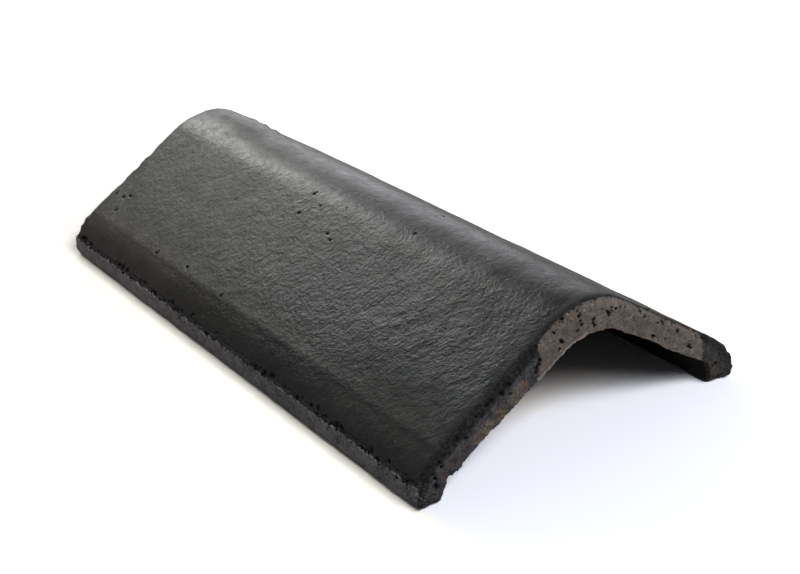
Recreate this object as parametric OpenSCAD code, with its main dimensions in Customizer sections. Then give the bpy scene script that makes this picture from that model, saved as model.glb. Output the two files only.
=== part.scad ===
// Ridge tile: a concrete angle ridge with a rounded crown, two straight wings,
// rolled shoulders and a foot along each long edge. One piece, open at both ends.
// X runs along the ridge, Y across it, Z up. The feet stand on Z = 0.

/* [Overall] */
// Length along the ridge
tile_length = 450; // [300:5:600]
// Width over the outer faces of the two feet
tile_width = 243; // [210:1:290]
// Fall of each wing below the horizontal, in degrees
wing_pitch = 33; // [28:0.5:38]

/* [Crown and wings] */
// Radius of the rounded crown, on top
crown_r = 52; // [40:1:70]
// Radius of the hollow under the crown
hollow_r = 36; // [20:1:50]
// Thickness of the wall at the top of the crown
crown_wall = 20; // [16:0.5:22]
// How much flatter the underside of a wing lies than its top, in degrees
wing_taper = 2.5; // [1:0.25:3.5]

/* [Shoulders and feet] */
// Radius of the shoulder where a wing rolls over to its foot
shoulder_r = 43; // [30:1:55]
// Fall of the shoulder where it meets the foot, in degrees
shoulder_fall = 62.5; // [52:0.5:72]
// Height of the outer face of a foot
foot_h = 15.5; // [12:0.5:20]
// Width of a foot at its base
foot_w = 19; // [15:0.5:22]
// How far a foot stands out past the shoulder above it
foot_ledge = 2; // [1:0.25:3]
// Lean of the inner face of a foot, in degrees
foot_draft = 15; // [5:1:20]

/* [Edges] */
// Radius of the worn top edge around each end
arris_r = 6; // [2:0.5:8]
// Radius in the corner where a foot grows from the underside
root_r = 8; // [4:0.5:12]
// Radius along the outer edge of a foot's base
base_r = 4; // [1:0.5:5]
// Width of the bevel along the inner edge of a foot's base
base_bevel = 2.5; // [1:0.5:4]

/* [Hidden] */
$fn = 96;

// Reach of a cutting shape past the faces that it cuts
reach = tile_width;
// Turn by which an arc of the top runs on inside its neighbour, in degrees
lap = 2;
// Angle at which a flat of the underside crosses the arcs at its ends, in degrees
crossing = 4;
half_w = tile_width / 2;

// A point at a fall angle round an arc: the arc's top is at angle 0
function round_arc(centre, r, fall) = centre + r * [sin(fall), cos(fall)];

// Top line of the section, from the foot up to the crown, as [across, up]
shoulder_end = [half_w - foot_ledge, foot_h];
shoulder_centre = round_arc(shoulder_end, -shoulder_r, shoulder_fall);
wing_end = round_arc(shoulder_centre, shoulder_r, wing_pitch);
peak_z = wing_end[1] + wing_end[0] * tan(wing_pitch);
crown_centre = [0, peak_z - crown_r / cos(wing_pitch)];
wing_run = norm(wing_end - round_arc(crown_centre, crown_r, wing_pitch));
tile_height = crown_centre[1] + crown_r;
// Depth to which a wing is filled before the hollow is cut, past its underside
wing_depth = 1.5 * crown_wall;

// Underside line of the section, from the crown down to the root of a foot
under_pitch = wing_pitch - wing_taper;
inner_fall = 90 - foot_draft;
foot_inner = half_w - foot_w;
hollow_centre = [0, tile_height - crown_wall - hollow_r];
under_start = round_arc(hollow_centre, hollow_r * cos(crossing), under_pitch);
root_z = (under_start[1] - (foot_inner - under_start[0]) * tan(under_pitch))
    / (1 - tan(foot_draft) * tan(under_pitch));
root = [foot_inner - root_z * tan(foot_draft), root_z];

// The root's rounding, between the underside and the inner face of a foot
root_near = root_r * cos(crossing);
root_run = root_near * tan((inner_fall - under_pitch) / 2);
under_end = root - root_run * [cos(under_pitch), -sin(under_pitch)];
root_centre = round_arc(under_end, -root_near, under_pitch);
inner_start = round_arc(root_centre, root_near, inner_fall);

// Turns a section drawn across and up so that its third axis runs along the ridge
module along_ridge() { rotate([90, 0, 90]) children(); }

module both_sides() {
    children();
    mirror([0, 1, 0]) children();
}

// Lengthwise section of the wall from its top face at `top` down to `top - depth`,
// with the worn edge at each end of the tile
module lengthwise(top, depth) {
    translate([top - depth, -tile_length / 2]) square([depth - arris_r, tile_length]);
    translate([top - depth, arris_r - tile_length / 2]) square([depth, tile_length - 2 * arris_r]);
    for (end = [-1, 1])
        translate([top - arris_r, end * (tile_length / 2 - arris_r)]) circle(r = arris_r);
}

// The wall turned about the local Z axis, between two angles
module rolled(r, from, to) { rotate_extrude(start = from, angle = to - from) lengthwise(r, r); }

// The wall from the middle of the crown out to the shoulder, drawn in the wing's own frame:
// the crown's centre is the origin and the wing lies level at a height of crown_r
module half_vault() {
    along_ridge() translate(crown_centre) rotate(-wing_pitch) {
        rolled(crown_r, 90, 90 + wing_pitch + lap);
        along_ridge() linear_extrude(wing_run) lengthwise(crown_r, wing_depth);
        translate([wing_run, crown_r - shoulder_r])
            rolled(shoulder_r, 90 - shoulder_fall + wing_pitch - lap, 90);
    }
}

// Section of a foot with its rounded outer base, run inwards past its root
module foot_section() {
    inner = root[0] - root_r;
    corner = [half_w - base_r, base_r];
    translate([inner, base_r]) square([half_w - inner, foot_h - base_r]);
    translate([inner, 0]) square([corner[0] - inner, foot_h]);
    translate(corner) circle(r = base_r);
}

// One half before the hollow is cut, ended square at the middle of the crown
module half_body() {
    difference() {
        union() {
            half_vault();
            along_ridge() linear_extrude(tile_length, center = true) foot_section();
        }
        translate([-tile_length, -reach, -reach]) cube([2 * tile_length, reach, 2 * reach]);
    }
}

// Open space under the tile, with a bevel along the inner edge of each foot's base
module hollow_section() {
    side = [
        under_start,
        under_end,
        root_centre,
        inner_start,
        [foot_inner - base_bevel * tan(foot_draft), base_bevel],
        [foot_inner + base_bevel, 0],
        [foot_inner + base_bevel, -reach],
    ];
    polygon(concat(
        [hollow_centre],
        side,
        [for (i = [len(side) - 1:-1:0]) [-side[i][0], side[i][1]]]
    ));
    translate(hollow_centre) circle(r = hollow_r);
    for (across = [-1, 1])
        translate([across * root_centre[0], root_centre[1]]) circle(r = root_r);
}

module ridge_tile() {
    color("dimgray") difference() {
        both_sides() half_body();
        along_ridge() linear_extrude(tile_length + reach, center = true) hollow_section();
    }
}

ridge_tile();
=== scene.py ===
# %% [markdown]
# # A concrete ridge tile
# The real object is one piece of concrete: a roof's ridge tile, made by pressing wet concrete
# into a long section and cutting it to length. Its top has a thin dark coat that is satin and a
# little wrinkled. The cut ends are rough and partly bare.
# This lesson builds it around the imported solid, which fixes the size and the place.

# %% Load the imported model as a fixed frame
import math
import random

import bmesh
import bpy
from mathutils import Matrix, Vector, kdtree, noise


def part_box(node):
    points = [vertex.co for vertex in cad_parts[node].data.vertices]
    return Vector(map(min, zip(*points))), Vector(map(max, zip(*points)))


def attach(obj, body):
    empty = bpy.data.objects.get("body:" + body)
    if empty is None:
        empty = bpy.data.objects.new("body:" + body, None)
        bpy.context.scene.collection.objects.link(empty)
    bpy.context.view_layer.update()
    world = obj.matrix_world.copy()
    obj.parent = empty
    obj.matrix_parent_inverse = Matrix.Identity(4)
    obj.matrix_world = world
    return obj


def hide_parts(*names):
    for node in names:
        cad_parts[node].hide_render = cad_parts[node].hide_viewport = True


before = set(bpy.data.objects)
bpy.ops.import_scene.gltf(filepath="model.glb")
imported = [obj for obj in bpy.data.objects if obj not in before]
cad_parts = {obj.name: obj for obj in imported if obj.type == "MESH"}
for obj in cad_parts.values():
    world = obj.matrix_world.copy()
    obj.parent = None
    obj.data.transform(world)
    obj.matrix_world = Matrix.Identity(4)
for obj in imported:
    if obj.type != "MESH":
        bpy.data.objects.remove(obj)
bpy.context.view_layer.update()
low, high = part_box("ridge_tile")
half_length = high.x
half_width = high.y
extent = high - low
print(f"frame of {len(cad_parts)} node, {extent.x:.3f} x {extent.y:.3f} x {extent.z:.3f} m")

# %% [markdown]
# ## Camera
# The camera comes first, because every later choice is judged through it. Its place was found
# by fitting the tile's straight edges to the photograph: it looks at a point under the middle
# of the tile from the front right, a little down, with a slight roll.

# %% Camera at the photograph's viewing angle
MM = 0.001
PHOTO_SIZE = (800, 574)
view_target = Vector((-12.9, 37.1, 0.0)) * MM
view_azimuth = math.radians(54.98)
view_elevation = math.radians(25.29)
view_roll = math.radians(-1.85)
view_distance = 990.9 * MM
lens_mm = 61.54
sensor_mm = 36

back = Vector((
    math.sin(view_azimuth) * math.cos(view_elevation),
    -math.cos(view_azimuth) * math.cos(view_elevation),
    math.sin(view_elevation),
))
level_right = (-back).cross(Vector((0, 0, 1))).normalized()
level_up = level_right.cross(-back)
right = math.cos(view_roll) * level_right + math.sin(view_roll) * level_up
up = math.cos(view_roll) * level_up - math.sin(view_roll) * level_right

camera_data = bpy.data.cameras.new("camera")
camera_data.lens = lens_mm
camera_data.sensor_width = sensor_mm
camera = bpy.data.objects.new("camera", camera_data)
camera.matrix_world = Matrix.Translation(view_target + back * view_distance) @ Matrix(
    (right, up, back)
).transposed().to_4x4()
bpy.context.scene.collection.objects.link(camera)
bpy.context.scene.camera = camera
print("camera at", tuple(round(c, 3) for c in camera.matrix_world.translation))


def pixel_ray(pixel):
    """The direction in which the camera sees a pixel of the photograph."""
    focal = lens_mm / sensor_mm * PHOTO_SIZE[0]
    across = (pixel[0] - PHOTO_SIZE[0] / 2) / focal
    upward = (PHOTO_SIZE[1] / 2 - pixel[1]) / focal
    return (across * right + upward * up - back).normalized()


# %% [markdown]
# ## The section
# All of the tile's character is in its section: a round crown, straight wings that thin towards
# the edge, shoulders that roll over, and feet with a small ledge. It could be drawn as one
# curve, but walking it with a single vertex gives exact arcs and a vertex just where the
# later steps need one: extrude for the flats, spin for the arcs. Two lines are walked from the
# crown to the middle of a foot's base, the top line and the underside line, with the same
# number of steps, so that they can be bridged into a ribbon of quads.

# %% Driving sizes of the section
wing_pitch = math.radians(33)
under_pitch = math.radians(30.5)
inner_fall = math.radians(75)
crown_r = 52 * MM
hollow_r = 36 * MM
crown_wall = 20 * MM
shoulder_r = 43 * MM
shoulder_fall = math.radians(62.5)
foot_height = 15.5 * MM
foot_width = 19 * MM
foot_ledge = 2 * MM
ledge_round = 1.0 * MM
root_r = 8 * MM
base_r = 4 * MM
base_bevel = 2.5 * MM
arris_r = 6 * MM


def on_arc(centre, radius, fall):
    """A point round an arc, at a fall angle from its top, as (across, up)."""
    return Vector((centre[0] + radius * math.sin(fall), centre[1] + radius * math.cos(fall)))


shoulder_end = Vector((half_width - foot_ledge, foot_height))
shoulder_centre = on_arc(shoulder_end, -shoulder_r, shoulder_fall)
wing_end = on_arc(shoulder_centre, shoulder_r, wing_pitch)
peak = wing_end[1] + wing_end[0] * math.tan(wing_pitch)
crown_centre = Vector((0, peak - crown_r / math.cos(wing_pitch)))
crown_top = crown_centre[1] + crown_r
wing_start = on_arc(crown_centre, crown_r, wing_pitch)

hollow_centre = Vector((0, crown_top - crown_wall - hollow_r))
under_start = on_arc(hollow_centre, hollow_r, under_pitch)
foot_inner = half_width - foot_width
draft = math.tan(math.pi / 2 - inner_fall)
root_z = (under_start[1] - (foot_inner - under_start[0]) * math.tan(under_pitch)) / (
    1 - draft * math.tan(under_pitch)
)
root = Vector((foot_inner - root_z * draft, root_z))
root_run = root_r * math.tan((inner_fall - under_pitch) / 2)
under_end = root - root_run * Vector((math.cos(under_pitch), -math.sin(under_pitch)))
root_centre = on_arc(under_end, -root_r, under_pitch)
inner_start = on_arc(root_centre, root_r, inner_fall)
print(f"section: crown at {crown_top / MM:.2f} mm, root of the foot at {root_z / MM:.1f} mm")

# %% Start the piece as one vertex at the top of the crown
bpy.ops.object.select_all(action="DESELECT")
bpy.ops.mesh.primitive_plane_add(size=MM)
tile = bpy.context.active_object
tile.name = "ridge_tile_surface"
tile.data.name = "ridge_tile_surface"
bpy.ops.object.mode_set(mode="EDIT")
bpy.ops.mesh.select_all(action="SELECT")
bpy.ops.mesh.merge(type="CENTER")
bpy.ops.transform.translate(value=(-half_length, 0, crown_top))
print("started with", len(bmesh.from_edit_mesh(tile.data).verts), "vertex")


# %% Helpers that walk the section and select by place
def walk_line(start, end, steps):
    """Extrudes the selected vertex along a flat in equal steps."""
    for _ in range(steps):
        step = (0, (end[0] - start[0]) / steps, (end[1] - start[1]) / steps)
        bpy.ops.mesh.extrude_region_move(TRANSFORM_OT_translate={"value": step})


def walk_arc(centre, turn, steps):
    """Spins the selected vertex round an arc. A positive turn falls towards +Y."""
    bpy.ops.mesh.spin(
        steps=steps, angle=turn, center=(-half_length, centre[0], centre[1]), axis=(1, 0, 0)
    )


def select_where(test, kind="VERT"):
    """Selects the vertices, edges or faces that pass a test, and nothing else."""
    bpy.ops.mesh.select_all(action="DESELECT")
    bpy.ops.mesh.select_mode(type=kind)
    shape = bmesh.from_edit_mesh(tile.data)
    parts = {"VERT": shape.verts, "EDGE": shape.edges, "FACE": shape.faces}[kind]
    count = 0
    for part in parts:
        if test(part):
            part.select_set(True)
            count += 1
    shape.select_flush_mode()
    bmesh.update_edit_mesh(tile.data)
    return count


print("selected", select_where(lambda v: v.co.z > crown_top - MM), "vertex to walk with")

# %% Walk the underside line, then the top line, to the middle of the foot's base
CROWN_STEPS = 12
WING_STEPS = 32
ROOT_STEPS = 10
INNER_FACE_STEPS = 14
BEVEL_STEPS = 3
INNER_BASE_STEPS = 5
SHOULDER_STEPS = 14
LEDGE_STEPS = 2
OUTER_FACE_STEPS = 8
CORNER_STEPS = 4
OUTER_BASE_STEPS = 3
TOUCH = 0.01 * MM
base_middle = (foot_inner + base_bevel + half_width - base_r) / 2
seam = 0.5 * MM

bpy.ops.mesh.duplicate_move(TRANSFORM_OT_translate={"value": (0, 0, -crown_wall)})
bevel_top = Vector((foot_inner - base_bevel * draft, base_bevel))
bevel_foot = Vector((foot_inner + base_bevel, 0))
walk_arc(hollow_centre, under_pitch, CROWN_STEPS)
walk_line(under_start, under_end, WING_STEPS)
walk_arc(root_centre, inner_fall - under_pitch, ROOT_STEPS)
walk_line(inner_start, bevel_top, INNER_FACE_STEPS)
walk_line(bevel_top, bevel_foot, BEVEL_STEPS)
walk_line(bevel_foot, Vector((base_middle - seam, 0)), INNER_BASE_STEPS)

select_where(lambda v: abs(v.co.y) < TOUCH and v.co.z > crown_top - MM)
ledge_edge = Vector((half_width - ledge_round, foot_height - 0.4 * ledge_round))
face_top = Vector((half_width, foot_height - 1.5 * ledge_round))
face_foot = Vector((half_width, base_r))
base_outer = Vector((half_width - base_r, 0))
walk_arc(crown_centre, wing_pitch, CROWN_STEPS)
walk_line(wing_start, wing_end, WING_STEPS)
walk_arc(shoulder_centre, shoulder_fall - wing_pitch, SHOULDER_STEPS)
walk_line(shoulder_end, ledge_edge, LEDGE_STEPS)
walk_line(ledge_edge, face_top, 1)
walk_line(face_top, face_foot, OUTER_FACE_STEPS)
walk_arc((half_width - base_r, base_r), math.pi / 2, CORNER_STEPS)
walk_line(base_outer, Vector((base_middle + seam, 0)), OUTER_BASE_STEPS)
print("walked", len(bmesh.from_edit_mesh(tile.data).verts), "vertices for half of the section")

# %% [markdown]
# ## From a ribbon to a solid
# Bridging the two lines makes half of the section as a ribbon of long quads. The Mirror
# modifier makes the other half. The ribbon is then extruded along the ridge in three lengths,
# so that the two ends can later be made finer than the middle. A bevel round the top edge of
# each end gives the worn arris.

# %% Bridge, mirror and extrude
bpy.ops.mesh.select_all(action="SELECT")
bpy.ops.mesh.bridge_edge_loops()
bpy.ops.object.mode_set(mode="OBJECT")
mirror = tile.modifiers.new("other half", "MIRROR")
mirror.use_axis = (False, True, False)
mirror.merge_threshold = TOUCH
bpy.ops.object.modifier_apply(modifier=mirror.name)

END_ZONE = 12 * MM
bpy.ops.object.mode_set(mode="EDIT")
bpy.ops.mesh.select_all(action="SELECT")
for run in (END_ZONE, 2 * (half_length - END_ZONE), END_ZONE):
    bpy.ops.mesh.extrude_region_move(TRANSFORM_OT_translate={"value": (run, 0, 0)})
bpy.ops.mesh.select_all(action="SELECT")
bpy.ops.mesh.normals_make_consistent(inside=False)
print("solid of", len(bmesh.from_edit_mesh(tile.data).faces), "faces")


def depth_below_top(place):
    """How far a place lies below the top line of the section, measured square to it."""
    across = abs(place.y)
    from_crown = Vector((across, place.z)) - crown_centre
    from_shoulder = Vector((across, place.z)) - shoulder_centre
    if math.atan2(from_crown[0], from_crown[1]) < wing_pitch:
        return crown_r - from_crown.length
    if math.atan2(from_shoulder[0], from_shoulder[1]) > wing_pitch:
        return shoulder_r - from_shoulder.length
    return crown_r - from_crown[0] * math.sin(wing_pitch) - from_crown[1] * math.cos(wing_pitch)


def at_end(vertex):
    return abs(vertex.co.x) > half_length - TOUCH


def on_top_line(vertex):
    return abs(depth_below_top(vertex.co)) < 0.05 * MM and vertex.co.z > foot_height - TOUCH


select_where(lambda e: all(at_end(v) and on_top_line(v) for v in e.verts), "EDGE")
bpy.ops.mesh.bevel(offset=arris_r, segments=6, affect="EDGES")
print("arris bevelled:", len(bmesh.from_edit_mesh(tile.data).faces), "faces")
bpy.ops.object.mode_set(mode="OBJECT")

# %% [markdown]
# ## A finer mesh where the surface is rough
# The relief of the later steps needs vertices to move. The ends and the feet are seen close up and
# are the roughest, so their faces are split small. The smooth top needs less, and the
# underside, which is in shadow, least of all. Subdividing chosen edges keeps the rows straight.

# %% Rows along the ridge
ROW_CUTS = 39
TOP_ROW_CUTS = 2
END_ROW_CUTS = 3
WALL_CUTS = 5


def lengthwise(edge):
    """True for an edge that runs along the ridge."""
    run = edge.verts[0].co - edge.verts[1].co
    return abs(run.x) > 0.9 * run.length


def in_middle(part):
    return all(abs(v.co.x) < half_length - END_ZONE + TOUCH for v in part.verts)


def on_outside(vertex):
    """True for a vertex of the top line or of a foot's outer face and rounded edge."""
    if vertex.co.z > foot_height - TOUCH:
        return depth_below_top(vertex.co) < arris_r + 0.1 * MM
    return abs(vertex.co.y) > half_width - base_r - TOUCH


def at_cap(face):
    return abs(face.normal.x) > 0.99 and all(at_end(v) for v in face.verts)


bpy.ops.object.mode_set(mode="EDIT")
select_where(lambda e: lengthwise(e) and in_middle(e), "EDGE")
bpy.ops.mesh.subdivide(number_cuts=ROW_CUTS)
select_where(
    lambda e: lengthwise(e) and in_middle(e) and all(on_outside(v) for v in e.verts), "EDGE"
)
bpy.ops.mesh.subdivide(number_cuts=TOP_ROW_CUTS)
select_where(lambda e: lengthwise(e) and not in_middle(e) and e.calc_length() > 4 * MM, "EDGE")
bpy.ops.mesh.subdivide(number_cuts=END_ROW_CUTS)
select_where(lambda e: len(e.link_faces) == 2 and all(at_cap(f) for f in e.link_faces), "EDGE")
bpy.ops.mesh.subdivide(number_cuts=WALL_CUTS)
print("rows cut:", len(bmesh.from_edit_mesh(tile.data).faces), "faces")

# %% Small faces at the ends and along the feet
NEAR_CUTS = 2
FAR_CUTS = 1
LEDGE_CUTS = 2
LEDGE_BAND = (9.5 * MM, 19 * MM)
select_where(lambda f: all(v.co.x > half_length - END_ZONE - TOUCH for v in f.verts), "FACE")
bpy.ops.mesh.subdivide(number_cuts=NEAR_CUTS)
select_where(lambda f: all(v.co.x < END_ZONE - half_length + TOUCH for v in f.verts), "FACE")
bpy.ops.mesh.subdivide(number_cuts=FAR_CUTS)
select_where(
    lambda f: in_middle(f)
    and all(on_outside(v) and LEDGE_BAND[0] < v.co.z < LEDGE_BAND[1] for v in f.verts),
    "FACE",
)
bpy.ops.mesh.subdivide(number_cuts=LEDGE_CUTS)
bpy.ops.object.mode_set(mode="OBJECT")


def triangles():
    return sum(len(face.vertices) - 2 for face in tile.data.polygons)


print("fine mesh:", triangles(), "triangles")

# %% [markdown]
# ## Worn ends
# On the real tile the ends of the feet are knocked round. At the near end the feet are also worn
# thin from inside, the root of the left one is filled, the arch is a little higher on one side,
# and the top droops. A sculpting brush would do it by hand, but a stroke is hard to repeat, so
# vertices are moved by their place: the nearer to the end, the further a vertex goes.

# %% Round off the ends of the feet
FOOT_END = 6 * MM
DRAWN_TOP = 24 * MM
BASE_RISE = 7 * MM


def smooth_between(start, end, value):
    """A soft step from 0 at start to 1 at end."""
    share = min(max((value - start) / (end - start), 0.0), 1.0)
    return share * share * (3 - 2 * share)


def draw_in(vertex):
    """Draws in the end of a foot, so that its corners are round."""
    from_end = max(half_length - abs(vertex.co.x), 0)
    across = abs(vertex.co.y)
    rise = vertex.co.z
    if from_end > FOOT_END or across < foot_inner - 4 * MM or rise > DRAWN_TOP:
        return False
    drawn = FOOT_END - math.sqrt(FOOT_END**2 - (FOOT_END - from_end) ** 2)
    low_down = 1 - smooth_between(foot_height, DRAWN_TOP, rise)
    outer = smooth_between(half_width - 15 * MM, half_width, across)
    inner_side = 1 - smooth_between(foot_inner, foot_inner + 7 * MM, across)
    crest = smooth_between(8 * MM, foot_height, rise) * outer
    base = 1 - smooth_between(0, BASE_RISE, rise)
    lift = (0.75 + 0.25 * outer + 0.5 * inner_side) * base
    vertex.co.y -= math.copysign(0.5 * drawn * outer * low_down, vertex.co.y)
    vertex.co.z += drawn * low_down * (lift - 0.5 * crest)
    return True


print(sum(draw_in(vertex) for vertex in tile.data.vertices), "vertices drawn in")
bpy.ops.object.mode_set(mode="EDIT")
at_foot_ends = select_where(
    lambda v: abs(v.co.x) > half_length - 5 * MM
    and abs(v.co.y) > half_width - 13 * MM
    and 7 * MM < v.co.z < 21 * MM
)
bpy.ops.mesh.vertices_smooth(factor=0.5, repeat=10)
bpy.ops.object.mode_set(mode="OBJECT")
print(at_foot_ends, "vertices smoothed at the ends of the feet")

# %% Wear the near end
WORN_RUN = 16 * MM
ROOT_FILL = 3.6 * MM
LEFT_THINNING = 3.2 * MM
RIGHT_THINNING = 2.2 * MM
ARCH_RUN = 30 * MM
ARCH_RAISE = 2 * MM
DROOP_RUN = 20 * MM
DROOP = 0.9 * MM
SKIN = 7 * MM


def wear_foot(vertex, below):
    """Thins a foot from inside, and fills the root of the left one."""
    worn = smooth_between(half_length - WORN_RUN, half_length, vertex.co.x)
    across = abs(vertex.co.y)
    if worn > 0 and across > 70 * MM and below > SKIN:
        inside = 1 - smooth_between(foot_inner, half_width - 6 * MM, across)
        in_root = max(1 - abs(across - 94 * MM) / (13 * MM), 0)
        under_root = smooth_between(15 * MM, 19 * MM, vertex.co.z)
        in_face = smooth_between(1 * MM, 6 * MM, vertex.co.z) * (1 - under_root)
        if vertex.co.y < 0:
            vertex.co.z -= ROOT_FILL * worn * in_root * under_root * inside
            vertex.co.y -= LEFT_THINNING * worn * in_face * inside
        else:
            vertex.co.y += RIGHT_THINNING * worn * in_face * inside


def wear_arch(vertex, below):
    """Raises the arch's inner edge on one side, and lets the top droop."""
    near = smooth_between(half_length - ARCH_RUN, half_length, vertex.co.x)
    side = smooth_between(2 * MM, 20 * MM, vertex.co.y)
    side *= 1 - smooth_between(48 * MM, 68 * MM, vertex.co.y)
    lower = smooth_between(SKIN, 16 * MM, below)
    upper = 1 - smooth_between(4 * MM, 10 * MM, below)
    droop = max(vertex.co.x - half_length + DROOP_RUN, 0) / DROOP_RUN
    clear = smooth_between(foot_height, foot_height + 8 * MM, vertex.co.z)
    vertex.co.z += ARCH_RAISE * near * side * lower - DROOP * droop**2 * upper * clear


for vertex in tile.data.vertices:
    below = depth_below_top(vertex.co)
    wear_foot(vertex, below)
    wear_arch(vertex, below)
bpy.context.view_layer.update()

# %% Smooth the filled root
bpy.ops.object.mode_set(mode="EDIT")
in_filled_root = select_where(
    lambda v: v.co.x > half_length - 12 * MM
    and -106 * MM < v.co.y < -86 * MM
    and 1 * MM < v.co.z < DRAWN_TOP
    and depth_below_top(v.co) > SKIN
)
bpy.ops.mesh.vertices_smooth(factor=0.5, repeat=16)
bpy.ops.object.mode_set(mode="OBJECT")
print(in_filled_root, "vertices smoothed in the filled root")

# %% [markdown]
# ## A crease along each shoulder
# On the real tile a wing doesn't quite flow into its shoulder. A faint crease parts them, and
# the reflected light ends there in a clear line. A bevel or a sharp edge would be too hard, so
# the vertices just past the line sink by a few tenths of a millimetre, most at the near end.

# %% Sink the start of each shoulder
CREASE_DROP = 0.45 * MM
CREASE_RUN = 6 * MM
CREASE_FADE = (13 * MM, 21 * MM)
CREASE_DEPTH = (4 * MM, 10 * MM)
NEAR_GAIN = 0.4


def crease(vertex):
    """Sinks a vertex of the top just past the line where a shoulder starts."""
    out = Vector((abs(vertex.co.y), vertex.co.z)) - shoulder_centre
    run = shoulder_r * (math.atan2(out[0], out[1]) - wing_pitch)
    below = depth_below_top(vertex.co)
    if run <= 0 or below >= CREASE_DEPTH[1] or vertex.co.z <= foot_height:
        return False
    drop = CREASE_DROP * (1 + NEAR_GAIN * vertex.co.x / half_length)
    drop *= run / CREASE_RUN * math.exp(1 - run / CREASE_RUN)
    drop *= 1 - smooth_between(*CREASE_FADE, run)
    drop *= 1 - smooth_between(*CREASE_DEPTH, below)
    inward = -drop * out.normalized()
    vertex.co += Vector((0, math.copysign(inward[0], -vertex.co.y), inward[1]))
    return True


print(sum(crease(vertex) for vertex in tile.data.vertices), "vertices sunk along the shoulders")

# %% [markdown]
# ## Relief
# The top was smoothed by a machine and is a little wavy. The ends were cut while the concrete
# was stiff, so grains tore out and left a rough face. A Displace modifier with a procedural
# texture gives both, held to its own part of the tile by a vertex group.

# %% Vertex groups for the top, the cut ends and the feet
def weigh(name, rule):
    """Adds a vertex group whose weight at each vertex comes from a rule."""
    group = tile.vertex_groups.new(name=name)
    for vertex in tile.data.vertices:
        weight = rule(vertex)
        if weight > 0:
            group.add([vertex.index], weight, "REPLACE")


def top_weight(vertex):
    if vertex.co.z < foot_height + 1 * MM:
        return 0
    return 1 - smooth_between(arris_r, 1.3 * arris_r, depth_below_top(vertex.co))


def cut_weight(vertex):
    from_end = half_length - abs(vertex.co.x)
    below = depth_below_top(vertex.co)
    rough = 1 - smooth_between(0.5 * MM, 5 * MM, from_end)
    clear_of_floor = smooth_between(0, 1.5 * MM, vertex.co.z)
    return rough * smooth_between(0.5 * MM, 4 * MM, below + 2 * foot_ledge) * clear_of_floor


def foot_weight(vertex):
    outer = smooth_between(half_width - 3 * MM, half_width - 1.5 * MM, abs(vertex.co.y))
    low_down = 1 - smooth_between(foot_height + 0.2 * MM, foot_height + 3 * MM, vertex.co.z)
    return outer * low_down * smooth_between(0, 2 * MM, vertex.co.z)


def foot_end_weight(vertex):
    near_end = smooth_between(half_length - 9 * MM, half_length - 3 * MM, abs(vertex.co.x))
    out = smooth_between(foot_inner - 2 * MM, foot_inner + 8 * MM, abs(vertex.co.y))
    return near_end * out * smooth_between(0, 4 * MM, vertex.co.z)


weigh("coated top", top_weight)
weigh("foot ends", foot_end_weight)
weigh("cut ends", cut_weight)
weigh("feet", foot_weight)
print("vertex groups:", [group.name for group in tile.vertex_groups])


# %% Displace the top, the ends and the feet
def displace(group, size, height, depth=1):
    """Moves the vertices of a group along their normals by a cloudy texture."""
    texture = bpy.data.textures.new(group, "CLOUDS")
    texture.noise_scale = size
    texture.noise_depth = depth
    modifier = tile.modifiers.new(group, "DISPLACE")
    modifier.texture = texture
    modifier.texture_coords = "LOCAL"
    modifier.vertex_group = group
    modifier.strength = height
    modifier.mid_level = 0.5
    bpy.context.view_layer.objects.active = tile
    bpy.ops.object.modifier_apply(modifier=modifier.name)


displace("coated top", 45 * MM, 0.8 * MM)
displace("coated top", 14 * MM, 0.35 * MM)
displace("cut ends", 6 * MM, 1.6 * MM, depth=2)
displace("cut ends", 2.2 * MM, 1.6 * MM, depth=3)
displace("foot ends", 8 * MM, 3.2 * MM)
displace("feet", 9 * MM, 1.0 * MM)
displace("feet", 2.5 * MM, 1.2 * MM, depth=2)
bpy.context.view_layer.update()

# %% [markdown]
# ## Swellings, nicks and crumbs
# A few lumps and nicks of the real tile are too local for a texture: the swollen far crown with
# crumbs on it, the bruised right foot and the chipped edges. Each is a soft push round one
# place, as with an inflate brush. Where only the photograph gives the place, a ray through its
# pixel finds it on the tile.

# %% Soft pushes round a place
eye = camera.matrix_world.translation
spots = kdtree.KDTree(len(tile.data.vertices))
for vertex in tile.data.vertices:
    spots.insert(vertex.co, vertex.index)
spots.balance()
outward = [vertex.normal.copy() for vertex in tile.data.vertices]


def swell(centre, reach, height, stretch=1):
    """Moves the surface round a place in or out, fading to the reach.

    Reach and height are in millimetres. The stretch lengthens it along the ridge.
    """
    for place, number, _ in spots.find_range(centre, reach * stretch * MM):
        away = place - centre
        away.x /= stretch
        share = away.length / (reach * MM)
        if share < 1:
            vertex = tile.data.vertices[number]
            vertex.co += outward[number] * height * MM * (1 - share * share) ** 2
            vertex.co.z = max(vertex.co.z, 0)


def swell_at(pixel, reach, height):
    """The same, round the place that the camera sees at a pixel of the photograph."""
    hit, place, _, _ = tile.ray_cast(eye, pixel_ray(pixel))
    if hit:
        swell(place, reach, height)
    return hit


print("pushes can reach", len(outward), "vertices")

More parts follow.
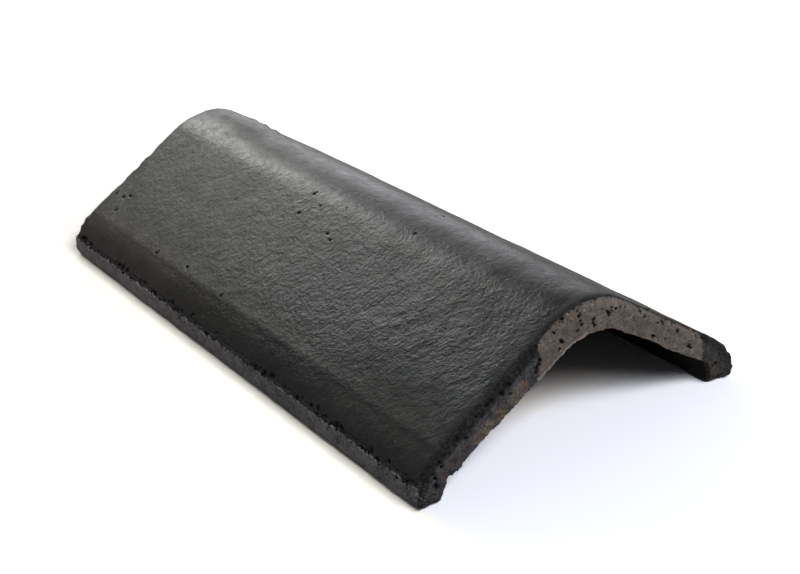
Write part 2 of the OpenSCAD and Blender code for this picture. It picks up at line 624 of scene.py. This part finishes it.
# %% Swellings of the far crown and the right foot, and marks at the edges
swell(Vector((-190, 14, 88)) * MM, 30, 2.4, stretch=2.2)
swell(Vector((222, 121, 9)) * MM, 15, 2.2)
swell(Vector((221, 112, 24)) * MM, 16, 1.6)
for crumb in ((-189, 26, 85), (-174, 27, 84), (-160, 28, 83.5)):
    swell(Vector(crumb) * MM, 5, 1.3)
for bump, height in (
    ((223, 122.5, 11), 1.0), ((223, 121.5, 4), -1.5), ((222, 118, 18.5), -1.1),
    ((222, 115, 23), 0.9), ((222, 111.5, 26.5), -0.9), ((223, 120.5, 15), 0.7),
):
    swell(Vector(bump) * MM, 3, height)
for nick in ((-224, -50.5, 65), (-224, -77, 46.5), (-224, -63, 57)):
    swell(Vector(nick) * MM, 6, -1.6)
marks = [
    ((610, 296), 3, 1.0), ((632, 301), 4, 1.0), ((648, 310), 3, 0.9), ((705, 337), 3, 1.2),
]
print(sum(swell_at(*mark) for mark in marks), "marks at the edges")

# %% [markdown]
# ## Voids and pinholes
# Air bubbles and torn-out grains leave small holes. The largest can be made out in the
# photograph, so they are placed by casting a ray through their pixels onto the tile. Others are
# spread over the rest by a seeded random choice. Cutting each with a Boolean would be slow and
# leave poor faces, so each is a dent: large faces round it are split, and the vertices inside
# its ragged rim are pushed in.

# %% Holes that the photograph shows
pinhole_pixels = [
    (116, 210), (123, 197), (130, 196), (117, 193), (156, 253), (187, 267), (220, 296),
    (314, 194), (320, 206), (327, 234), (330, 240), (416, 233), (299, 213),
]
faint_pixels = [
    (175, 275), (250, 256), (251, 305), (209, 217), (215, 191), (235, 200), (286, 257.5),
    (268, 292), (260, 212.5), (425, 207), (306, 222), (203, 200), (162, 186), (347, 208),
]
void_pixels = [
    (580, 317), (580.5, 321), (581.5, 325), (594, 319.5), (593.3, 323), (595, 326), (612, 307.5),
    (616, 308.5), (625, 307), (609, 314), (607, 312), (661, 320), (663, 322), (678, 330.5),
    (692, 348), (689, 346), (561, 341), (563, 342.5), (560, 350.5), (541, 361), (539.5, 364.5),
    (537.5, 368), (536, 372), (654, 337), (508, 384), (506, 386), (501.5, 393.5), (483, 414.5),
    (466.5, 438.5), (442, 467), (435, 478), (437.5, 487), (436, 484),
    (715.5, 364), (703, 338),
]
chance = random.Random(7)
holes = []


def hole_at(origin, ray, radius, depth):
    """Notes a hole where a ray first meets the tile."""
    hit, place, normal, _ = tile.ray_cast(origin, ray)
    if hit:
        holes.append((place, normal, radius, depth))


for pixel in pinhole_pixels:
    radius = chance.uniform(1.1, 1.6) * MM
    hole_at(eye, pixel_ray(pixel), radius, 1.2 * radius)
for pixel in faint_pixels:
    radius = chance.uniform(0.7, 1.0) * MM
    hole_at(eye, pixel_ray(pixel), radius, 0.5 * radius)
for pixel in void_pixels:
    radius = chance.uniform(1.1, 1.9) * MM
    hole_at(eye, pixel_ray(pixel), radius, 1.4 * radius)
print(len(holes), "holes seen")

# %% Holes scattered over the rest
TOP_HOLES = 30
END_HOLES = 75
RIM_HOLES = 24
LEDGE_HOLES = 150

for _ in range(TOP_HOLES):
    above = Vector((chance.uniform(-0.21, 0.21), chance.uniform(0.012, 0.115), 0.2))
    radius = chance.uniform(0.9, 1.5) * MM
    hole_at(above, Vector((0, 0, -1)), radius, 1.1 * radius)
for end in (-1, 1):
    for _ in range(END_HOLES):
        across = chance.uniform(-half_width, half_width)
        beside = Vector((end * 0.4, across, chance.uniform(0.002, crown_top)))
        radius = chance.uniform(0.6, 1.3) * MM
        hole_at(beside, Vector((-end, 0, 0)), radius, 0.8 * radius)
    for _ in range(RIM_HOLES):
        turn = chance.choice((-1, 1)) * wing_pitch
        place = on_arc(crown_centre, crown_r - chance.uniform(1.2, 5) * MM, turn)
        run = chance.uniform(-30, 85) * MM
        place += run * Vector((math.copysign(math.cos(turn), turn), -abs(math.sin(turn))))
        radius = abs(chance.gauss(0.65, 0.35)) * MM + 0.3 * MM
        beside = Vector((end * 0.4, place[0], place[1]))
        hole_at(beside, Vector((-end, 0, 0)), radius, 1.3 * radius)
for side in (-1, 1):
    for _ in range(LEDGE_HOLES):
        beside = Vector((
            chance.uniform(-half_length, half_length), side * 0.3, chance.gauss(14.6, 1.3) * MM
        ))
        radius = abs(chance.gauss(0.9, 0.45)) * MM + 0.4 * MM
        hole_at(beside, Vector((0, -side, 0)), radius, 1.1 * radius)
print(len(holes), "holes in all")

# %% Split large faces round the holes
RIM_MARGIN = 2 * MM
LARGE_FACE = 3 * MM * MM
rims = kdtree.KDTree(len(holes))
for number, hole in enumerate(holes):
    rims.insert(hole[0], number)
rims.balance()


def near_hole(face):
    """True for a large face at the rim of a hole."""
    _, number, distance = rims.find(face.calc_center_median())
    return distance < holes[number][2] + RIM_MARGIN and face.calc_area() > LARGE_FACE


bpy.ops.object.mode_set(mode="EDIT")
print(select_where(near_hole, "FACE"), "faces split")
bpy.ops.mesh.subdivide(number_cuts=2)
print(select_where(lambda f: len(f.verts) > 4, "FACE"), "faces with many sides poked")
bpy.ops.mesh.poke()
bpy.ops.object.mode_set(mode="OBJECT")

# %% Push the holes in
WIDEST = 3 * MM
RAGGED_SHARE = 0.9
RAGGED_SIZE = 1.3 * MM
in_hole = {}
for vertex in tile.data.vertices:
    for _, number, distance in rims.find_range(vertex.co, WIDEST):
        _, normal, radius, depth = holes[number]
        distance *= 1 + RAGGED_SHARE * noise.noise(vertex.co / RAGGED_SIZE)
        if distance < radius:
            share = (1 - (distance / radius) ** 2) ** 1.5
            # This share later darkens the hole's colour, as painted shade inside the dent, and
            # makes it matt.
            dark = share * min(depth / radius, 1)
            in_hole[vertex.index] = max(in_hole.get(vertex.index, 0), dark)
            vertex.co -= normal * depth * share
print(len(in_hole), "vertices pushed in;", triangles(), "triangles")

# %% Shade smoothly
bpy.ops.object.select_all(action="DESELECT")
tile.select_set(True)
bpy.context.view_layer.objects.active = tile
bpy.ops.object.shade_smooth_by_angle(angle=math.radians(45))
print(sum(face.use_smooth for face in tile.data.polygons), "faces shaded smoothly")


# %% Keep the distances that the material needs
def fall_from_crown(place):
    """Distance along the top line from the middle of the crown, with the side's sign."""
    across = abs(place.y)
    out = Vector((across, place.z)) - crown_centre
    turn = math.atan2(out[0], out[1])
    if turn < wing_pitch:
        fall = crown_r * turn
    else:
        along = (across - wing_start[0]) * math.cos(wing_pitch)
        along -= (place.z - wing_start[1]) * math.sin(wing_pitch)
        fall = crown_r * wing_pitch + along
    return math.copysign(fall, place.y)


def keep(name, rule):
    """Stores a number at each vertex for the material."""
    attribute = tile.data.attributes.new(name, "FLOAT", "POINT")
    attribute.data.foreach_set("value", [rule(v) for v in tile.data.vertices])


def above_underside(place):
    """How far a place lies above the underside of the crown and wings, square to it."""
    out = Vector((abs(place.y), place.z)) - hollow_centre
    if math.atan2(out[0], out[1]) < under_pitch:
        return out.length - hollow_r
    return out[0] * math.sin(under_pitch) + out[1] * math.cos(under_pitch) - hollow_r


keep("depth", lambda vertex: depth_below_top(vertex.co) / MM)
keep("inner", lambda vertex: above_underside(vertex.co) / MM)
keep("fall", lambda vertex: fall_from_crown(vertex.co) / MM)
keep("hole", lambda vertex: in_hole.get(vertex.index, 0.0))
print("attributes:", [a.name for a in tile.data.attributes if a.domain == "POINT"])

# %% [markdown]
# ## The finish
# One material covers the whole tile, because the coat is only a film on the concrete. It works
# out in millimetres where a point lies, and mixes the coat, the bare concrete and the foot's
# worn face by masks with noisy edges.

# %% A small class for shader sums
class Value:
    """Wraps a shader socket, so that sums on it add Math nodes."""

    def __init__(self, tree, socket=None):
        self.tree = tree
        self.socket = socket

    def node(self, kind, settings=None, inputs=None, output=0):
        """Adds any node: its settings first, then the values or links of its sockets."""
        made = self.tree.nodes.new("ShaderNode" + kind)
        for name, value in (settings or {}).items():
            setattr(made, name, value)
        for name, value in (inputs or {}).items():
            if isinstance(value, Value):
                self.tree.links.new(value.socket, made.inputs[name])
            else:
                made.inputs[name].default_value = value
        return Value(self.tree, made.outputs[output])

    def sum(self, operation, first, second):
        return self.node("Math", {"operation": operation}, {0: first, 1: second})

    def __add__(self, other):
        return self.sum("ADD", self, other)

    def __sub__(self, other):
        return self.sum("SUBTRACT", self, other)

    def __rsub__(self, other):
        return self.sum("SUBTRACT", other, self)

    def __mul__(self, other):
        return self.sum("MULTIPLY", self, other)

    __radd__ = __add__
    __rmul__ = __mul__

    def larger(self, other):
        return self.sum("MAXIMUM", self, other)

    def size(self):
        return self.sum("ABSOLUTE", self, 0.0)

    def step(self, start, end):
        """A soft step from 0 at start to 1 at end, which may run downwards."""
        settings = {"interpolation_type": "SMOOTHSTEP"}
        if end < start:
            return 1 - self.step(end, start)
        return self.node("MapRange", settings, {"Value": self, "From Min": start, "From Max": end})

    def blend(self, first, second):
        """Mixes two colours, with this value as the share of the second."""
        settings = {"data_type": "RGBA"}
        return self.node("Mix", settings, {0: self, 6: first, 7: second}, output=2)

    def mix(self, first, second):
        """Mixes two numbers, with this value as the share of the second."""
        return self.node("Mix", {"data_type": "FLOAT"}, {0: self, 2: first, 3: second})


def grey(level, warm=0.0):
    """A grey as a colour, a little warmer or cooler."""
    return (level * (1 + warm), level, level * (1 - warm), 1)


# %% Where a point lies on the tile, in millimetres
finish = bpy.data.materials.new("coated_concrete")
finish.use_nodes = True
tree = finish.node_tree
tree.nodes.clear()
start = Value(tree)
metres = start.node("TexCoord", output="Object")
place = start.node(
    "VectorMath", {"operation": "SCALE"}, {0: metres, "Scale": 1 / MM}
)
along = start.node("SeparateXYZ", inputs={0: place}, output="X")
across = start.node("SeparateXYZ", inputs={0: place}, output="Y")
height = start.node("SeparateXYZ", inputs={0: place}, output="Z")
depth = start.node("Attribute", {"attribute_name": "depth"}, output="Fac")
fall = start.node("Attribute", {"attribute_name": "fall"}, output="Fac")


def grain(size, detail=2.0, rough=0.5, vector=place):
    """Noise between 0 and 1 whose features are about size millimetres wide."""
    inputs = {"Vector": vector, "Scale": 1 / size, "Detail": detail, "Roughness": rough}
    return start.node("TexNoise", {"noise_dimensions": "3D"}, inputs, output=0)


def cells(size, output="Distance"):
    """Voronoi cells about size millimetres wide."""
    inputs = {"Vector": place, "Scale": 1 / size}
    return start.node("TexVoronoi", {"feature": "F1"}, inputs, output=output)


def told_apart(size):
    """A number from 0 to 1 that is the same all over one cell."""
    return start.node("SeparateColor", inputs={0: cells(size, output="Color")}, output="Red")


print("places:", len(tree.nodes), "nodes")

# %% [markdown]
# ## Where each finish lies
# The coat runs over the worn edge and down the legs of the near end, and stops in a ragged line.
# Bare patches show through it, and the outer face of each foot is rubbed bare. These areas could
# be painted by hand, but a mask from the distances stays sharp at any size. Noise is added to
# a distance before its soft step, so that the border comes out ragged.

# %% Masks on the ends
foot_top = foot_height / MM
edge = half_width / MM
hole = start.node("Attribute", {"attribute_name": "hole"}, output="Fac")
inner = start.node("Attribute", {"attribute_name": "inner"}, output="Fac")
from_end = half_length / MM - along.size()
near_end = along.step(-1, 1)
near_share = along.step(-150, 40)
border = 7 * (grain(5, 3) - 0.5)
leg = (across + border).step(-37, -39.5)
other_foot = (across + border).step(92, 95)


def ragged(aside, above):
    """A ragged patch on the near end, as wide as where its two shares reach 1."""
    far = aside * aside + above * above + 2.8 * (grain(4, 3) - 0.5)
    return near_end * far.step(1.3, 0.9)


def patch(out, down, length, thick):
    """A patch round a place along the top line and below it."""
    return ragged((fall - out) * (1 / length), (depth - down) * (1 / thick))


tan_patch = patch(-67.5, 12.5, 7.5, 5.5)
ochre_patch = patch(-83, 13, 4.5, 4.5)
brown_patch = patch(-97, 12.5, 8.5, 4.5)
olive_patch = ragged((across - 102.5) * (1 / 6.5), (height - 9.5) * (1 / 8))
far_patch = (1 - near_end) * leg * depth.step(6, 9) * grain(12, 2).step(0.5, 0.55)
patches = tan_patch.larger(ochre_patch).larger(brown_patch).larger(olive_patch).larger(far_patch)
coat_edge = 1.1 + 3.2 * (grain(9, 3) - 0.5) + 5.0 * (grain(2.4, 2) - 0.5)
coat_edge = coat_edge + (30 + 12 * (grain(6, 3) - 0.5)) * leg.larger(other_foot)
end_face = from_end.step(4.5, 2.5)
cut_face = end_face * (depth - coat_edge).step(-0.4, 0.4).larger(patches)
print("masks on the ends:", len(tree.nodes), "nodes")

# %% Masks on the edges, the underside and the feet
arris = from_end.step(11, 3) * (1 - cut_face) * (0.2 + 0.8 * near_end)
end_coat = from_end.step(3.6, 2) * depth.step(3.5, 6) * (1 - cut_face)
under = depth.step(9, 11) * (1 - from_end.step(3.5, 2))
outer_side = across.size().step(edge - 6, edge - 4)
strip_top = foot_top - 1.4 + 2.6 * (grain(3, 2) - 0.5)
strip = (strip_top - height).step(-0.5, 0.5) * outer_side * (1 - from_end.step(4, 2))
ledge = height.step(foot_top - 3, foot_top - 1.5) * outer_side
ledge = ledge * height.step(foot_top + 1.6, foot_top + 0.4) * (1 - strip)
print("all masks:", len(tree.nodes), "nodes")

# %% [markdown]
# ## Colours of the coat
# The coat is nearly black, a little green on the near wing and dusty brown towards the far end.
# One flat grey would look like plastic, so each colour is a pair of tones mixed by noise, and
# the pairs are mixed by where a point lies.

# %% Colours of the coat on top
far_share = along.step(60, -160)
coat_tone = 0.3 * grain(38, 3) + 0.35 * grain(8, 3) + 0.35 * grain(1.3, 2, 0.6)
coat_tone = coat_tone.step(0.36, 0.64)
coat_green = coat_tone.blend((0.0085, 0.0130, 0.0103, 1), (0.0178, 0.0240, 0.0198, 1))
coat_dusty = coat_tone.blend((0.0155, 0.0142, 0.0075, 1), (0.0300, 0.0270, 0.0145, 1))
# The crown and the shoulders, off the wing, take a neutral, darker coat; on the shoulders the
# darkening is painted shade.
coat_neutral_and_painted_shade = coat_tone.blend((0.0066, 0.0064, 0.0058, 1), (0.0186, 0.0178, 0.0162, 1))
on_wing = fall.size().step(20, 34) * fall.size().step(112, 92)
coat_green = on_wing.blend(coat_neutral_and_painted_shade, coat_green)
coat = far_share.blend(coat_green, coat_dusty)
shoulder_dust = along.step(0, -180) * fall.size().step(108, 122) * grain(20, 3).step(0.3, 0.6)
coat = shoulder_dust.blend(coat, (0.045, 0.031, 0.027, 1))
speck = told_apart(3.4).step(0.95, 0.96) * cells(3.4).step(0.22, 0.12)
coat = (0.7 * speck).blend(coat, (0.18, 0.17, 0.16, 1))
print("coat on top:", len(tree.nodes), "nodes")

# %% Colours of the coat at its edges and on the ends
pitted = grain(1.8, 3).step(0.35, 0.75).blend(grey(0.005), grey(0.034))
pebble = told_apart(1.9)
pebble_shape = cells(1.9).step(0.45, 0.25)
pale_grain = pebble.step(0.93, 0.94) * pebble_shape
dark_grain = pebble.step(0.14, 0.12) * pebble_shape
coat = arris.blend(coat, pitted)
coat = ledge.blend(coat, (0.5 * pale_grain).blend(pitted, (0.16, 0.15, 0.14, 1)))
leg_coat = (0.5 * grain(4, 3) + 0.5 * grain(1.3, 2)).step(0.36, 0.64).blend(
    (0.018, 0.019, 0.024, 1), (0.092, 0.089, 0.101, 1)
)
plum = across.step(-84, -92) * across.step(-112, -104) * grain(5, 3).step(0.4, 0.6)
leg_coat = (0.5 * other_foot).blend(leg_coat, (0.014, 0.014, 0.016, 1))
foot_speck = other_foot * grain(0.9, 2).step(0.56, 0.66)
leg_coat = (0.7 * foot_speck).blend(leg_coat, (0.135, 0.132, 0.130, 1))
leg_coat = plum.blend(leg_coat, (0.078, 0.060, 0.062, 1))
coat = end_coat.blend(coat, leg_coat)
corner = from_end.step(7, 4) * across.step(-112, -117) * height.step(17, 14)
coat = (0.7 * corner * grain(1.2, 2).step(0.54, 0.64)).blend(coat, (0.150, 0.143, 0.118, 1))
print("whole coat:", len(tree.nodes), "nodes")

# %% [markdown]
# ## Colours of bare concrete
# Bare concrete is a brown grey with pale and dark grains of sand. The patches on the left leg
# are stained tan, ochre and brown, and the strip along each foot is greyer. Grains are Voronoi
# cells of which only a few are coloured, because noise alone gives clouds and no grains.

# %% Concrete of the cut face
concrete = (0.6 * grain(1.1, 3, 0.6) + 0.4 * grain(4, 2)).step(0.32, 0.68).blend(
    (0.084, 0.066, 0.058, 1), (0.252, 0.213, 0.199, 1)
)
concrete = (0.55 * grain(6, 2).step(0.5, 0.65)).blend(concrete, (0.150, 0.138, 0.102, 1))
concrete = (0.4 * grain(11, 2).step(0.5, 0.7)).blend(concrete, (0.085, 0.066, 0.060, 1))
concrete = (0.3 * across.step(10, -15)).blend(concrete, (0.095, 0.076, 0.069, 1))
concrete = (0.7 * pale_grain).blend(concrete, (0.40, 0.36, 0.33, 1))
concrete = dark_grain.blend(concrete, (0.045, 0.038, 0.034, 1))
pale_lip = inner.step(1.7, 0.5) * across.step(8, -12)
concrete = (0.85 * pale_lip).blend(concrete, (0.42, 0.39, 0.37, 1))
print("cut face:", len(tree.nodes), "nodes")

# %% Stained patches
speckle = grain(1.6, 3).step(0.35, 0.65)
concrete = tan_patch.blend(
    concrete, speckle.blend((0.088, 0.078, 0.062, 1), (0.175, 0.152, 0.118, 1))
)
orange = patch(-61, 12, 4, 2.5)
concrete = (0.5 * orange).blend(concrete, (0.20, 0.130, 0.090, 1))
concrete = ochre_patch.blend(
    concrete, speckle.blend((0.046, 0.040, 0.035, 1), (0.170, 0.130, 0.095, 1))
)
concrete = brown_patch.larger(far_patch).blend(
    concrete, speckle.blend((0.066, 0.053, 0.048, 1), (0.190, 0.150, 0.128, 1))
)
concrete = olive_patch.blend(
    concrete, speckle.blend((0.026, 0.024, 0.020, 1), (0.105, 0.097, 0.078, 1))
)
print("patches:", len(tree.nodes), "nodes")

# %% Strip along the feet, and the underside
strip_tone = (0.6 * grain(1.5, 3) + 0.4 * grain(9, 2)).step(0.36, 0.64)
strip_colour = far_share.blend(
    strip_tone.blend((0.112, 0.108, 0.110, 1), (0.310, 0.300, 0.304, 1)),
    strip_tone.blend((0.225, 0.187, 0.196, 1), (0.440, 0.380, 0.392, 1)),
)
strip_colour = (0.6 * pale_grain).blend(strip_colour, (0.45, 0.43, 0.40, 1))
strip_colour = dark_grain.blend(strip_colour, (0.035, 0.031, 0.030, 1))
base_line = height.step(2.6, 0.8) * grain(8, 3).step(0.35, 0.6)
strip_colour = base_line.blend(strip_colour, (0.15, 0.115, 0.055, 1))
# The strip darkens over its lowest 1.6 mm towards the base: painted shade where the foot meets the
# floor.
strip_colour = (0.75 * height.step(1.6, 0.6)).blend(strip_colour, (0.03, 0.026, 0.02, 1))
# The underside is painted near black: painted shade, standing for the deep shadow inside the arch.
underside_painted_shade = grain(6, 3).blend(grey(0.0045, 0.18), grey(0.0125, 0.22))
print("strip and underside:", len(tree.nodes), "nodes")

# %% All colours together
colour = strip.blend(coat, strip_colour)
colour = under.blend(colour, underside_painted_shade)
colour = cut_face.blend(colour, concrete)
# Holes are painted near black, most where they are deepest: painted shade inside the dents.
colour = hole.step(0.05, 0.6).blend(colour, (0.006, 0.005, 0.005, 1))
print("colours:", len(tree.nodes), "nodes")

# %% [markdown]
# ## Gloss and fine relief
# The coat is satin, and concrete is matt. The coat is also wrinkled, in slanting folds on the near
# wing, and finely pebbled elsewhere. The wrinkles are too fine for the mesh, so they are a Bump
# from noise. The folds are noise that is stretched along a slanting line.

# %% Gloss
coat_rough = 0.35 + 0.05 * far_share + 0.18 * along.step(70, 170) * fall.size().step(80, 100)
for size, change in ((2, 0.16), (5, 0.26), (17, 0.16)):
    coat_rough = coat_rough + change * (grain(size, 2) - 0.5)
porous = arris.larger(ledge)
matt = cut_face.larger(under).larger(0.85 * strip).larger(0.95 * porous)
matt = matt.larger(hole.step(0, 0.3))
roughness = matt.mix(coat_rough, 0.9)
print("gloss:", len(tree.nodes), "nodes")

# %% Slanting folds
LEAN = math.radians(33)
along_fibre = math.sin(LEAN) * along + math.cos(LEAN) * fall
across_fibre = math.cos(LEAN) * along - math.sin(LEAN) * fall
wander = 10 * (grain(9, 2) - 0.5)
fibre_place = start.node(
    "CombineXYZ",
    inputs={0: along_fibre * (1 / 8), 1: (across_fibre + wander) * (1 / 3.4), 2: 0},
)
fibre = grain(1, 1.5, 0.5, vector=fibre_place)
patchy = 0.2 + 1.1 * grain(14, 2).step(0.35, 0.65)
fibred = (0.3 + 0.7 * along.step(20, 170)) * along.step(-120, 20) * patchy
fibred = fibred * fall.size().step(16, 34) * fall.size().step(116, 104)
fibred = fibred * (0.6 + 0.4 * fall.size().step(42, 72))
print("folds:", len(tree.nodes), "nodes")

# %% Fine relief, and the shader
calm = (0.68 + 0.42 * near_share) * (0.55 + 0.45 * fall.size().step(8, 30))
calm = calm + 0.3 * along.step(0, 110) * fall.size().step(45, 75)
calm = calm * (1 - 0.25 * fall.size().step(98, 114))
fine = 0.62 * grain(1.2, 2, 0.6) + 0.7 * grain(2.6, 2) + 0.8 * grain(6.5, 1)
rough_face = 2.4 * grain(1.5, 3, 0.65)
relief = cut_face.larger(strip).larger(0.5 * porous).mix(calm * fine + fibred * fibre, rough_face)
bump = start.node("Bump", inputs={"Strength": 1.0, "Distance": 0.45 * MM, "Height": relief})
shader = start.node(
    "BsdfPrincipled",
    inputs={"Base Color": colour, "Roughness": roughness, "Normal": bump, "IOR": 1.5},
)
output = tree.nodes.new("ShaderNodeOutputMaterial")
tree.links.new(shader.socket, output.inputs["Surface"])
tile.data.materials.clear()
tile.data.materials.append(finish)
print("finish of", len(tree.nodes), "nodes")

# %% [markdown]
# ## Floor
# The tile stands on white paper. The camera sees the paper near white. Its colour is tinted by
# place, cool in front of the near end, warm under and along the tile and cream beside the left
# foot, so that the shadows there take painted tints. The light that the paper throws back on the
# tile is that of a plain pale sheet. Light Path tells the two apart. Far off, the sheet fades into
# the white of the studio, so that no horizon shows.

# %% White floor
PAPER_COOL = (1.57, 1.61, 1.76, 1)
PAPER_WARM = (1.66, 1.60, 1.55, 1)
PAPER_CREAM = (1.74, 1.71, 1.58, 1)
PAPER_FAR = (4, 4, 4, 1)
STUDIO_WHITE = (0.955, 0.96, 1, 1)
bpy.ops.object.select_all(action="DESELECT")
bpy.ops.mesh.primitive_plane_add(size=8)
floor = bpy.context.active_object
floor.name = "floor"
paper = bpy.data.materials.new("white_paper")
paper.use_nodes = True
paper.node_tree.nodes.clear()
sheet = Value(paper.node_tree)
paper_seen = sheet.node("LightPath", output="Is Camera Ray")
paper_lit = sheet.node("BsdfDiffuse", inputs={"Color": (0.42, 0.41, 0.405, 1)})
paper_place = sheet.node("TexCoord", output="Object")
away = sheet.node("VectorMath", {"operation": "LENGTH"}, {0: paper_place}, output="Value")
paper_across = sheet.node("SeparateXYZ", inputs={0: paper_place}, output="Y")
paper_along = sheet.node("SeparateXYZ", inputs={0: paper_place}, output="X")
# The paper's tints by place only show in its shadows: they are painted shadow colours.
under_arch = paper_along.step(0.195, 0.165)
beside_foot = paper_across.step(-0.112, -0.124)
paper_near = under_arch.blend(PAPER_COOL, PAPER_WARM)
paper_near = beside_foot.blend(paper_near, PAPER_CREAM)
paper_colour = away.step(0.3, 0.9).blend(paper_near, PAPER_FAR)
paper_white = sheet.node("BsdfDiffuse", inputs={"Color": paper_colour})
paper_glow = sheet.node("Emission", inputs={"Color": STUDIO_WHITE, "Strength": 1.0})
paper_white = sheet.node(
    "MixShader", inputs={0: away.step(0.7, 1.5), 1: paper_white, 2: paper_glow}
)
paper_shader = sheet.node("MixShader", inputs={0: paper_seen, 1: paper_lit, 2: paper_white})
paper_output = paper.node_tree.nodes.new("ShaderNodeOutputMaterial")
paper.node_tree.links.new(paper_shader.socket, paper_output.inputs["Surface"])
floor.data.materials.append(paper)
print("floor", round(floor.dimensions.x, 2), "m wide")

# %% [markdown]
# ## Light
# In the photograph a window beyond the far end makes the long highlight on the crown. Two soft
# lamps stand for it. A front lamp lights the near end, and has no reflection of its own. Four
# panels are the other way round: they show only in reflections, as the walls of a room do, so
# that no side of the dark coat is lost. The world adds a faint glow.

# %% Lamps
def lamp(name, azimuth, elevation, distance, size, radiance, colour=(1, 1, 1)):
    """A rectangular lamp that faces the tile, with its own brightness to look at.

    Azimuth is in degrees from the far end, -X, towards +Y.
    """
    turn = math.radians(azimuth)
    rise = math.radians(elevation)
    outward = Vector((
        -math.cos(turn) * math.cos(rise), math.sin(turn) * math.cos(rise), math.sin(rise)
    ))
    data = bpy.data.lights.new(name, "AREA")
    data.shape = "RECTANGLE"
    data.size = size[0]
    data.size_y = size[1]
    data.energy = radiance * math.pi * size[0] * size[1]
    data.color = colour
    made = bpy.data.objects.new(name, data)
    made.location = outward * distance
    made.rotation_euler = (-outward).to_track_quat("-Z", "Y").to_euler()
    bpy.context.scene.collection.objects.link(made)
    return made


lamp("window", -1.5, 35, 2.0, (1.0, 0.80), 2.45, (1, 0.99, 0.93))
lamp("window glare", 7, 31.5, 1.9, (0.34, 0.48), 8.4)
front = lamp("front", 175, 47, 2.3, (1.6, 0.7), 9.2)
front.visible_glossy = False
for panel in (
    lamp("rear panel", 176, 44, 2.0, (1.2, 0.9), 2.0),
    lamp("top panel", 90, 86, 2.0, (1.6, 0.5), 0.45),
    lamp("left panel", -90, 30, 2.0, (1.4, 0.6), 0.7),
    lamp("right panel", 90, 30, 2.0, (1.4, 0.6), 1.0),
):
    panel.visible_diffuse = False

# %% World
world = bpy.data.worlds.new("studio")
bpy.context.scene.world = world
world.use_nodes = True
sky = world.node_tree
sky.nodes.clear()
far = Value(sky)
direction = far.node("TexCoord", output="Generated")
toward_x = far.node("SeparateXYZ", inputs={0: direction}, output="X")
toward_y = far.node("SeparateXYZ", inputs={0: direction}, output="Y")
toward_z = far.node("SeparateXYZ", inputs={0: direction}, output="Z")
low_right = toward_y.step(0.1, 0.45) * toward_z.step(0.6, 0.3)
glow = 0.06 + 0.1 * toward_x.step(0, -0.5)
glow = glow + (0.38 + 1.6 * toward_x.step(-0.6, -0.76)) * low_right
seen = far.node("LightPath", output="Is Camera Ray")
strength = seen.mix(glow, 1.0)
sky_light = far.node("Background", inputs={"Color": STUDIO_WHITE, "Strength": strength})
sky_output = sky.nodes.new("ShaderNodeOutputWorld")
sky.links.new(sky_light.socket, sky_output.inputs["Surface"])
bpy.context.scene.view_settings.view_transform = "Standard"
print("world of", len(sky.nodes), "nodes")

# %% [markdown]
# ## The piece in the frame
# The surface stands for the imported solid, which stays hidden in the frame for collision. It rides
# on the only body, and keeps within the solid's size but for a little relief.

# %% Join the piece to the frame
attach(tile, "root")
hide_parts("ridge_tile")
